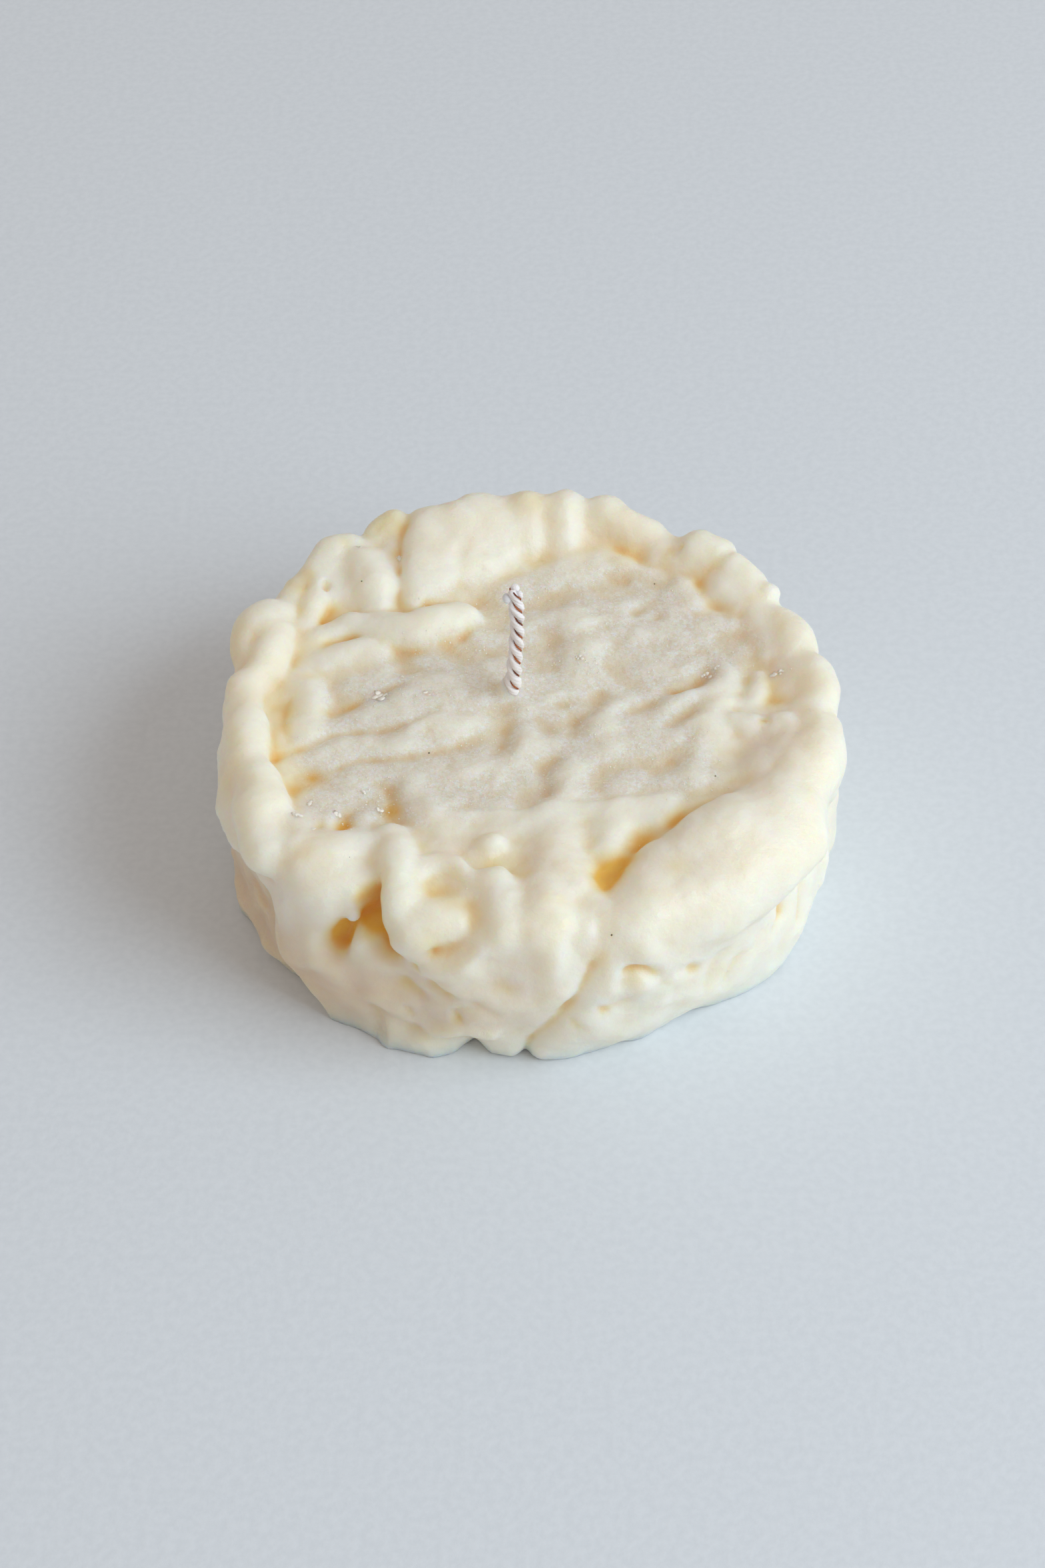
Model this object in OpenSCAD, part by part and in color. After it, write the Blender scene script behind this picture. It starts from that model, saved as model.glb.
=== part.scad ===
// Round puck candle cast in wax with a rolled, lobed rim like the rind of a soft cheese.
// A three-strand cotton wick runs through it into a stamped sustainer let into the base.
// Frame: origin at the centre of the base, +Z up, -Y towards the viewer. Millimetres.

/* [Puck] */
// Outer radius of the belly, the widest ring of the side wall
belly_r = 50.2; // [48:0.1:55]
// Height of the belly above the base
belly_z = 18; // [15:0.5:20]
// Outer radius of the foot of the wall
foot_r = 47.6; // [45:0.1:50]
// Radius of the foot's rounding
foot_round = 4.5; // [3:0.5:6]
// Outer radius of the rim's roll
rim_r = 49.4; // [48:0.1:54]
// Radius of the rim's roll
rim_round = 4.6; // [4:0.2:5]
// Height of the rim's crest above the base
rim_z = 34; // [33:0.5:37]
// Height of the sunken top inside the rim
plateau_z = 31; // [30:0.5:32]

/* [Folds] */
// Number of lobes pressed round the rim
lobe_count = 20; // [14:1:22]
// Depth of the creases between the lobes
lobe_depth = 1.6; // [0:0.1:2]
// Depth of the slow swellings of the side wall
swell_depth = 0.5; // [0:0.1:0.8]
// Height of a common fold on the sunken top
fold_height = 1.4; // [0:0.1:2]
// Height of the large flap folded in from the rim
flap_height = 3.2; // [2:0.1:4]

/* [Wick] */
// Distance of the wick from the puck's axis along X
wick_x = -3.5; // [-5:0.5:5]
// Distance of the wick from the puck's axis along Y
wick_y = 4.5; // [-5:0.5:5]
// Height of the wick's tip above the base
wick_tip_z = 53.5; // [45:0.5:60]
// Height of the wick's lower end above the base
wick_end_z = 0.6; // [0.5:0.1:1]
// Radius of one cotton strand
strand_r = 0.53; // [0.45:0.01:0.55]
// Length over which a strand goes once round the wick
lay_length = 8.25; // [7:0.25:10]
// Radius of one tracer thread
thread_r = 0.12; // [0.1:0.01:0.13]
// Radius of the channel that the wick fills in the wax
channel_r = 1.25; // [1.2:0.05:1.5]
// How far the free wick bows sideways
bow = 0.9; // [0:0.1:1.5]

/* [Sustainer] */
// Radius of the sustainer's disc
disc_r = 7.5; // [6:0.5:8]
// Thickness of the sheet
sheet_t = 0.3; // [0.25:0.05:0.4]
// Outer radius of the crimped neck
neck_r = 1.75; // [1.65:0.05:2]
// Height of the neck above the disc
neck_h = 5; // [4:0.5:8]
// Depth of the disc's lower face inside the base
inset = 0.2; // [0.1:0.05:0.5]

/* [Hidden] */
WAX = "#F1E7C8";
COTTON = "#F4F1EC";
THREAD = "#7A3B2B";
TIN = "#B9BCBE";
round_fn = 64;             // facets of a drawn round, which the exact solids don't use
seat_gap = 0.05;           // room between the wax and the sustainer
columns = 6 * lobe_count;  // steps round the puck
under = 2;                 // depth of the blank below the base, which is cut off flat
strand_count = 3;
strand_sides = 10;
thread_sides = 6;
strand_off = 1.17 * strand_r;                  // a strand's centre from the wick's axis
thread_off = 0.86 * (strand_off + thread_r);   // a thread lies in the valley between strands
rings_per_lay = 10;
wick_rings = ceil((wick_tip_z - wick_end_z) / lay_length * rings_per_lay);
neck_base_z = inset + sheet_t;

// Folds on the sunken top: [x, y] of one end, [x, y] of the other, height, half width
top_folds = [
    [[-15, 34], [-1, 38], flap_height, 5.5],          // flap folded in from the rim
    [[-27, 33], [-28, 36], 0.9 * flap_height, 4],     // round lobe beside the flap
    [[-31, 20], [-13, 22], 0.8 * flap_height, 3],     // long rope in front of it
    [[-41, -20], [-37, -26], 0.8 * flap_height, 4],   // lobe at the left of the rim
    [[-36, -5], [-22, -1], fold_height, 2.8],
    [[-33, -11], [-16, -7], fold_height, 2.8],
    [[-35, 11], [-25, 9], 1.2 * fold_height, 3],
    [[-18, -17], [-8, -19], fold_height, 2.8],
    [[3, 15], [12, 11], fold_height, 2.8],
    [[14, 3], [27, 10], fold_height, 2.8],
    [[9, -12], [25, -8], fold_height, 2.8],
    [[26, -2], [33, -10], 1.3 * fold_height, 3],
    [[-5, -25], [8, -24], fold_height, 3],
    [[9, 29], [24, 24], fold_height, 2.8],
    [[-20, -33], [-8, -36], 1.4 * fold_height, 3],
    [[20, -31], [31, -26], 1.6 * fold_height, 4]
];

// Pockets where the rim's folds don't meet: angle, height, depth, half width
wall_pockets = [
    [237, 27, 3.2, 4.5],
    [296, 30, 1.8, 3],
    [318, 31, 1.6, 3],
    [118, 31, 2.2, 2.5]
];

// The half section from the foot over the rim to the axis, as [radius, height]
foot_arc = [for (a = [-60, -30, 0])
    [foot_r - foot_round * (1 - cos(a)), foot_round * (1 + sin(a))]];
wall_line = [for (t = [0.2, 0.4, 0.6, 0.8])
    let (z = foot_round + t * (rim_z - rim_round - foot_round))
    [belly_r - (belly_r - foot_r) * pow((z - belly_z) / (belly_z - foot_round), 2), z]];
rim_arc = [for (a = [0 : 22 : 132])
    [rim_r - rim_round * (1 - cos(a)), rim_z - rim_round * (1 - sin(a))]];
top_line = [for (r = [38, 34.5, 31, 27, 23, 18.5, 14, 9.5, 5]) [r, plateau_z]];
section = concat([[foot_r - foot_round, -under]], foot_arc, wall_line, rim_arc, top_line);
crest_r = rim_r - rim_round;   // radius of the rim's highest ring

// Height of the rounded scallop round the puck, 0 in a crease and 1 on a lobe
function scallop(a) =
    pow(abs(sin(lobe_count * a / 2 + 40 * sin(3 * a + 20) + 22 * sin(7 * a))), 0.6);

// Slow swelling of the side wall at angle a and height z, from -1 to 1
function swelling(a, z) = 0.5 * (sin(5 * a + 6 * z) + sin(8 * a - 9 * z + 50));

// Distance from point p to the line that joins a and b
function line_distance(p, a, b) =
    let (t = max(0, min(1, ((p - a) * (b - a)) / ((b - a) * (b - a)))))
    norm(p - a - t * (b - a));

// A soft bump, 1 at no distance and close to 0 beyond twice the half width
function soft_bump(distance, half_width) = exp(-pow(distance / half_width, 2));

// Height that the folds add to the top at point p
function folds_at(p) =
    max([for (f = top_folds) f[2] * soft_bump(line_distance(p, f[0], f[1]), f[3])]);

// Depth that the pockets take from the wall at angle a and height z
function pockets_at(a, z) =
    max([for (w = wall_pockets)
        let (off = [rim_r * sin(a - w[0]), z - w[1]])
        cos(a - w[0]) < 0 ? 0 : w[2] * soft_bump(norm(off), w[3])]);

// The surface at angle a on the ring [r, z] of the half section
function surface_point(a, r, z) =
    r < crest_r - rim_round
        ? let (p = r * [cos(a), sin(a)]) [p[0], p[1], z + folds_at(p)]
        : let (
            on_rim = max(0, min(1, (z - 0.5 * rim_z) / (0.4 * rim_z))),
            crease = lobe_depth * on_rim * (scallop(a) - 1),
            swell = swell_depth * (1 - on_rim) * swelling(a, z) - pockets_at(a, z),
            out = min(1, max(-1, (r - crest_r) / rim_round))
        )
        [
            (r + out * (crease + swell)) * cos(a),
            (r + out * (crease + swell)) * sin(a),
            z + (1 - abs(out)) * crease
        ];

// The whole puck before its base is cut flat and its seat is bored
module puck_blank() {
    rings = len(section);
    points = concat(
        [for (s = section, k = [0 : columns - 1]) surface_point(k * 360 / columns, s[0], s[1])],
        [[0, 0, plateau_z], [0, 0, -under]]
    );
    walls = [
        for (j = [0 : rings - 2], k = [0 : columns - 1])
            let (a = j * columns + k, b = j * columns + (k + 1) % columns)
            each [[a, a + columns, b], [b, a + columns, b + columns]]
    ];
    last = (rings - 1) * columns;
    top = [for (k = [0 : columns - 1]) [last + k, rings * columns, last + (k + 1) % columns]];
    bottom = [for (k = [0 : columns - 1]) [(k + 1) % columns, rings * columns + 1, k]];
    polyhedron(points = points, faces = concat(walls, top, bottom), convexity = 8);
}

// The seat that the sustainer and the wick fill
module wick_seat() {
    translate([wick_x, wick_y, -under - 1]) {
        cylinder(r = channel_r, h = rim_z + 9, $fn = round_fn);
        cylinder(r = disc_r + seat_gap, h = under + 1 + neck_base_z + seat_gap, $fn = round_fn);
        cylinder(r = neck_r + seat_gap, h = under + 1 + neck_base_z + neck_h + seat_gap, $fn = round_fn);
    }
}

module wax_body() {
    color(WAX)
        difference() {
            puck_blank();
            translate([-2 * belly_r, -2 * belly_r, -4 * belly_r])
                cube(4 * belly_r);
            wick_seat();
        }
}

// How far the wick's axis stands off at height z: none in the wax, then a bow
function bowed(z) =
    let (t = max(0, z - plateau_z) / (wick_tip_z - plateau_z))
    bow * (sin(150 * t) + 0.3 * t);

// A point of the wick's section: off from the axis at angle a, at height z
function wick_point(z, off, a) =
    [wick_x + bowed(z) + off * cos(a), wick_y + off * sin(a), z];

// A twisted rod of n sides: its centre is off from the wick's axis and starts at angle start
module twisted_rod(off, r, start, n) {
    step = (wick_tip_z - wick_end_z) / wick_rings;
    points = [
        for (k = [0 : wick_rings])
            let (z = wick_end_z + k * step, a = start - 360 * z / lay_length)
            for (s = [0 : n - 1])
                wick_point(z, off, a) + r * [cos(s * 360 / n), sin(s * 360 / n), 0]
    ];
    sides = [
        for (k = [0 : wick_rings - 1])
            for (s = [0 : n - 1])
                let (a = k * n + s, b = k * n + (s + 1) % n)
                each [[a, a + n, b], [b, a + n, b + n]]
    ];
    foot = [for (s = [0 : n - 1]) s];
    tip = [for (s = [n - 1 : -1 : 0]) wick_rings * n + s];
    polyhedron(points = points, faces = concat(sides, [foot], [tip]), convexity = 8);
}

module wick_strand(i) {
    color(COTTON)
        twisted_rod(strand_off, strand_r, i * 360 / strand_count, strand_sides);
}

module tracer_thread(i) {
    color(THREAD)
        twisted_rod(thread_off, thread_r, (i + 0.5) * 360 / strand_count, thread_sides);
}

// A flat disc with a neck that is crimped round the wick's lower end
module wick_sustainer() {
    color(TIN)
        translate([wick_x, wick_y, inset])
            difference() {
                union() {
                    cylinder(r = disc_r, h = sheet_t, $fn = round_fn);
                    cylinder(r = neck_r, h = sheet_t + neck_h, $fn = round_fn);
                }
                translate([0, 0, -1])
                    cylinder(r = channel_r, h = neck_h + 3, $fn = round_fn);
            }
}

wax_body();
wick_strand(0);  // wick_strand_1
wick_strand(1);  // wick_strand_2
wick_strand(2);  // wick_strand_3
tracer_thread(0);  // tracer_thread_1
tracer_thread(1);  // tracer_thread_2
tracer_thread(2);  // tracer_thread_3
wick_sustainer();
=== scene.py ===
"""A round wax candle in the form of a small soft cheese, with a twisted cotton wick.

The wax is sculpted as a distance field on a grid of small cells, the way a modeller works clay: a revolved
body, folds pulled up over it, hollows dug out of it and creases scored into it. Every place on the wax is
in millimetres in the CAD frame, with the origin at the centre of the base.
"""

import math
from itertools import combinations

import bpy
import numpy as np
import openvdb
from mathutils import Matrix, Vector


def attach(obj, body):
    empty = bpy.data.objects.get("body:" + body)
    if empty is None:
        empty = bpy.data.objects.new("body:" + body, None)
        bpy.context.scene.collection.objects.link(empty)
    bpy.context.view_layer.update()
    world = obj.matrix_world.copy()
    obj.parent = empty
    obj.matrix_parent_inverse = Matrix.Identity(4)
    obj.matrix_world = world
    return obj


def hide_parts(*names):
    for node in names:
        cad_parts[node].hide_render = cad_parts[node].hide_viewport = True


MM = 0.001
ROOT = "root"   # the one body of a row with no joints

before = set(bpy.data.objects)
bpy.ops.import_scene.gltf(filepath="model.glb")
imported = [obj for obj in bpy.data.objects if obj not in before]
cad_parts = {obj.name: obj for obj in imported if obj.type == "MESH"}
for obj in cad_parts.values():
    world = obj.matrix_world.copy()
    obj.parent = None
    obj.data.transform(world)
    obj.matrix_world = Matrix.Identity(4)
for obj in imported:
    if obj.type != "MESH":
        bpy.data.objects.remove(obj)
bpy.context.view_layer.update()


# ---------------------------------------------------------------- camera, light and floor

def make_camera():
    """Looks down at 45 degrees with a long lens, from the side of the rim's deep pocket."""
    elevation = math.radians(45)
    distance = 0.6004
    target = Vector((0, 0, 0.0165))
    back = Vector((0, -math.cos(elevation), math.sin(elevation)))
    data = bpy.data.cameras.new("camera")
    data.sensor_width = 36
    data.lens = 85
    data.shift_x = -0.006378
    data.shift_y = -0.005102
    camera = bpy.data.objects.new("camera", data)
    camera.location = target + distance * back
    camera.rotation_mode = "QUATERNION"
    camera.rotation_quaternion = (-back).to_track_quat("-Z", "Y")
    bpy.context.scene.collection.objects.link(camera)
    bpy.context.scene.camera = camera


def make_light(name, azimuth, elevation, distance, size, power, colour):
    """An area light that looks at the candle. Azimuth is counted from +X towards +Y."""
    aim = Vector((0, 0, 0.02))
    a, e = math.radians(azimuth), math.radians(elevation)
    away = Vector((math.cos(a) * math.cos(e), math.sin(a) * math.cos(e), math.sin(e)))
    data = bpy.data.lights.new(name, "AREA")
    data.shape = "RECTANGLE"
    data.size, data.size_y = size
    data.energy = power
    data.color = colour
    light = bpy.data.objects.new(name, data)
    light.location = away * distance + aim
    light.rotation_mode = "QUATERNION"
    light.rotation_quaternion = (-away).to_track_quat("-Z", "Y")
    bpy.context.scene.collection.objects.link(light)


def make_lights():
    """A large window to the right, and an even pale sky for the rest."""
    make_light("window", -22, 36, distance=1.5, size=(1.2, 1.0), power=16.6, colour=(0.80, 0.915, 1.0))
    world = bpy.data.worlds.new("sky")
    world.use_nodes = True
    background = world.node_tree.nodes["Background"]
    background.inputs["Color"].default_value = (1.0, 0.885, 0.81, 1)
    background.inputs["Strength"].default_value = 0.475
    bpy.context.scene.world = world
    bpy.context.scene.view_settings.view_transform = "Standard"


# ---------------------------------------------------------------- material helpers

class Nodes:
    """Builds one material's nodes."""

    def __init__(self, name):
        self.material = bpy.data.materials.new(name)
        self.material.use_nodes = True
        self.tree = self.material.node_tree
        self.shader = self.tree.nodes["Principled BSDF"]

    def add(self, kind, **values):
        """Adds a node. Values go to its properties, or to its inputs where it has none of that name."""
        node = self.tree.nodes.new(kind)
        for key, value in values.items():
            if hasattr(node, key):
                setattr(node, key, value)
            else:
                self.put(node.inputs[key.replace("_", " ")], value)
        return node

    def put(self, socket, value):
        """Links a socket, or sets it."""
        if isinstance(value, bpy.types.NodeSocket):
            self.tree.links.new(value, socket)
        elif isinstance(value, tuple) and len(value) == 3 and len(socket.default_value) == 4:
            socket.default_value = (*value, 1)
        else:
            socket.default_value = value

    def position(self):
        return self.add("ShaderNodeTexCoord").outputs["Object"]

    def attribute(self, name):
        return self.add("ShaderNodeAttribute", attribute_name=name).outputs["Fac"]

    def noise(self, per_metre, detail=2.0, roughness=0.5, stretch=None):
        position = self.position()
        if stretch:
            scaled = self.add("ShaderNodeVectorMath", operation="MULTIPLY")
            self.put(scaled.inputs[0], position)
            self.put(scaled.inputs[1], stretch)
            position = scaled.outputs[0]
        node = self.add("ShaderNodeTexNoise", Scale=per_metre, Detail=detail, Roughness=roughness)
        self.put(node.inputs["Vector"], position)
        return node.outputs["Fac"]

    def ramp(self, value, low, high, out_low=0.0, out_high=1.0):
        node = self.add("ShaderNodeMapRange", interpolation_type="SMOOTHSTEP")
        self.put(node.inputs["Value"], value)
        limits = {"From Min": low, "From Max": high, "To Min": out_low, "To Max": out_high}
        for key, number in limits.items():
            self.put(node.inputs[key], number)
        return node.outputs[0]

    def maths(self, operation, a, b):
        node = self.add("ShaderNodeMath", operation=operation)
        self.put(node.inputs[0], a)
        self.put(node.inputs[1], b)
        return node.outputs[0]

    def mix(self, factor, a, b, blend="MIX"):
        node = self.add("ShaderNodeMix", data_type="RGBA", blend_type=blend)
        self.put(node.inputs["Factor"], factor)
        self.put(node.inputs[6], a)
        self.put(node.inputs[7], b)
        return node.outputs[2]

    def bump(self, height, strength, distance, normal=None):
        node = self.add("ShaderNodeBump", Strength=strength, Distance=distance)
        self.put(node.inputs["Height"], height)
        if normal:
            self.put(node.inputs["Normal"], normal)
        return node.outputs[0]

    def finish(self, **values):
        for key, value in values.items():
            self.put(self.shader.inputs[key.replace("_", " ")], value)
        return self.material


def floor_material():
    n = Nodes("floor_paper")
    grain = n.noise(700, 3.0)
    colour = n.mix(n.ramp(grain, 0.3, 0.7), (0.725, 0.790, 0.850), (0.760, 0.825, 0.885))
    return n.finish(Base_Color=colour, Roughness=0.75, Normal=n.bump(grain, 0.25, 0.0002))


def wax_material():
    """Ivory wax: smooth and clear on the folds, frosted on the sunken top, with crevice shade and the warm
    glow of light through the wax painted in deep ochre, and painted brown shade on parts of the wall and
    rim.
    """
    n = Nodes("wax")
    hollow = n.attribute("hollow")
    frost = n.attribute("frost")
    painted_warm_shade = n.attribute("painted_warm_shade")
    cloud = n.noise(160, 3.0)
    speckle = n.noise(1300, 4.0, 0.7)
    crystal = n.ramp(n.noise(1700, 2.0, 0.6), 0.57, 0.66)
    ivory = n.mix(n.ramp(cloud, 0.35, 0.65), (0.92, 0.872, 0.73), (0.945, 0.902, 0.785))
    chalk = n.mix(n.ramp(speckle, 0.35, 0.7), (0.85, 0.785, 0.645), (0.965, 0.94, 0.865))
    colour = n.mix(frost, ivory, n.mix(crystal, chalk, (0.98, 0.97, 0.93)))
    # Painted shade: at the listed places the wax turns duller and browner.
    colour = n.mix(painted_warm_shade, colour, (0.80, 0.64, 0.46))
    # Painted crevice shade: where the hollow mask rises, the ivory turns to straw and then to deep amber.
    # This stands in for shade in the creases and the warm glow of light through the wax.
    painted_crevice_shade_colour = n.mix(frost, (0.89, 0.77, 0.47), (0.87, 0.765, 0.56))
    colour = n.mix(n.ramp(hollow, 0.0, 0.55), colour, painted_crevice_shade_colour)
    colour = n.mix(n.ramp(hollow, 0.4, 1.0), colour, (0.88, 0.54, 0.10))
    fine = n.noise(700, 4.0, 0.6)
    grain = n.bump(n.maths("MULTIPLY", speckle, n.maths("ADD", frost, 0.05)), 0.9, 0.0006)
    grain = n.bump(fine, 0.6, 0.0005, grain)
    return n.finish(
        Base_Color=colour,
        Roughness=n.ramp(frost, 0.0, 1.0, 0.42, 0.72),
        Normal=grain,
        Subsurface_Weight=0.9,
        Subsurface_Radius=(1.0, 0.62, 0.30),
        Subsurface_Scale=0.0075,
        Specular_IOR_Level=0.4,
    )


def cotton_material():
    """Bleached cotton yarn, stiff with wax: fine twisted yarns that run along the strand, with painted
    shade in the grooves between them.
    """
    n = Nodes("cotton")
    ply_groove_shade = n.attribute("ply_groove_shade")
    fuzz = n.noise(7000, 3.0, 0.7)
    colour = n.mix(n.ramp(fuzz, 0.3, 0.7), (0.87, 0.83, 0.84), (0.96, 0.95, 0.96))
    # Painted shade: the cotton turns mauve-grey where the yarns dip into grooves.
    colour = n.mix(n.ramp(ply_groove_shade, 0.0, 0.5, 0.45, 0.0), colour, (0.66, 0.58, 0.56))
    return n.finish(
        Base_Color=colour,
        Roughness=0.8,
        Normal=n.bump(fuzz, 0.5, 0.00008),
        Subsurface_Weight=0.5,
        Subsurface_Radius=(1.0, 0.9, 0.8),
        Subsurface_Scale=0.0006,
    )


def tracer_material():
    """Dyed cotton thread, from dark red-brown to rust."""
    n = Nodes("tracer")
    dye = n.noise(420, 1.0)
    thread = n.noise(8000, 2.0, 0.7)
    colour = n.mix(n.ramp(dye, 0.4, 0.6), (0.14, 0.030, 0.012), (0.42, 0.115, 0.03))
    colour = n.mix(n.ramp(thread, 0.5, 0.8, 0.0, 0.4), colour, (0.60, 0.32, 0.20))
    return n.finish(Base_Color=colour, Roughness=0.85, Normal=n.bump(thread, 0.5, 0.00005))


def crumb_material(name, colour):
    """A pale or a dark crumb."""
    n = Nodes(name)
    grain = n.noise(2500, 2.0)
    return n.finish(
        Base_Color=n.mix(n.ramp(grain, 0.35, 0.65), colour, tuple(0.93 * part for part in colour)),
        Roughness=0.45,
        Normal=n.bump(grain, 0.4, 0.0001),
    )


def tin_material():
    """Tin-plated pressed sheet with fine rolling marks and a few dull patches."""
    n = Nodes("tin")
    rolled = n.noise(900, 3.0, 0.6, stretch=(0.06, 1.0, 1.0))
    dull = n.noise(260, 3.0)
    colour = n.mix(n.ramp(dull, 0.35, 0.7), (0.60, 0.61, 0.62), (0.74, 0.75, 0.76))
    return n.finish(
        Base_Color=colour,
        Metallic=1.0,
        Roughness=n.ramp(dull, 0.3, 0.7, 0.28, 0.48),
        Normal=n.bump(rolled, 0.25, 0.00006),
    )


# ---------------------------------------------------------------- the wax as a distance field

CELL = 0.4            # width of one grid cell
GRID_HALF = 54        # the grid reaches this far from the middle
GRID_TOP = 41         # height at which the grid ends
FAR = 1e9             # further off than any place on the grid
BAND = 4.0            # distances are only trusted up to this far from the surface
WALL_R = 49.5         # radius at which places on the wall are measured along the wall
FOOT_REACH = 5        # the shape of the foot fades away over this height
PLATEAU_Z = 31.0      # height of the sunken top
PLATEAU_R = 43        # radius inside which the top has streaks and grains
TOP_RELIEF = 0.58     # share of each depth on the sunken top that is used
FROST_LOW = 26.5      # frost lies between this height
FROST_HIGH = 33.6     # and this one
DROP_Z = 40.0         # height from which crumbs drop on the top
SPECK_R = 52          # radius from which a speck runs inwards to the wall
WICK_X, WICK_Y = -3.5, 4.5
WICK_LOW = 0.6        # height at which the wick starts
WICK_TOP = 53.5       # height at which the longest strand ends
LAY = 8.25            # height of one turn of the wick's strands
CREPT_Z = 32          # height round which wax has crept up the wick
CREPT_REACH = 2.6     # and how far up and down it reaches

# Half section of the blank: height, outer radius.
WALL_PROFILE = [
    (-2, 46), (0, 46.4), (3, 47.6), (7, 48.8), (12, 49.5), (18, 49.8), (24, 49.4), (30, 48.4), (40, 46.4),
]

# How far the foot of the wall stands in or out, round the base: angle in degrees, millimetres.
FOOT_PROFILE = [
    (0, 0.5), (20, -0.5), (40, 1), (65, -0.5), (90, 0.5), (110, -1), (135, 0.6), (160, 0.8), (180, 1),
    (197, 2.2), (208, 1.6), (220, 0.8), (232, -0.4), (240, 0), (243, 1.2), (251, 1.2), (255, -0.5),
    (258, -3.2), (260, -2), (262, -0.4), (266, 0.6), (272, 0.2), (280, -1.2), (290, -1.4), (300, -2.2),
    (307, -1.6), (314, -0.4), (325, 1.8), (333, 1), (345, 0), (360, 0.5),
]

# The rise of the top towards the rim: angle, radius where it starts, radius where it ends, height.
RIM_RISE = [
    (0, 42, 45.5, 1.6), (20, 38.5, 44.5, 1.8), (35, 37.5, 44.5, 1.6), (45, 40.5, 46, 1.8),
    (60, 41.5, 46, 1.8), (75, 39.5, 46.5, 2.4), (90, 37.5, 46.5, 3.2), (105, 37.5, 46, 3.2),
    (115, 42, 47, 1), (126, 38, 46, 2.4), (140, 38, 46, 2.2), (152, 42, 47, 0.6), (180, 43.5, 46.5, 0.6),
    (205, 43.5, 46, 0.4), (225, 40, 45, 0.6), (240, 38, 44, 0.2), (270, 35, 42, 0.6), (290, 38, 44, 0.4),
    (315, 38, 45, 1.2), (335, 40, 45.5, 1.6), (360, 42, 45.5, 1.6),
]

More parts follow.
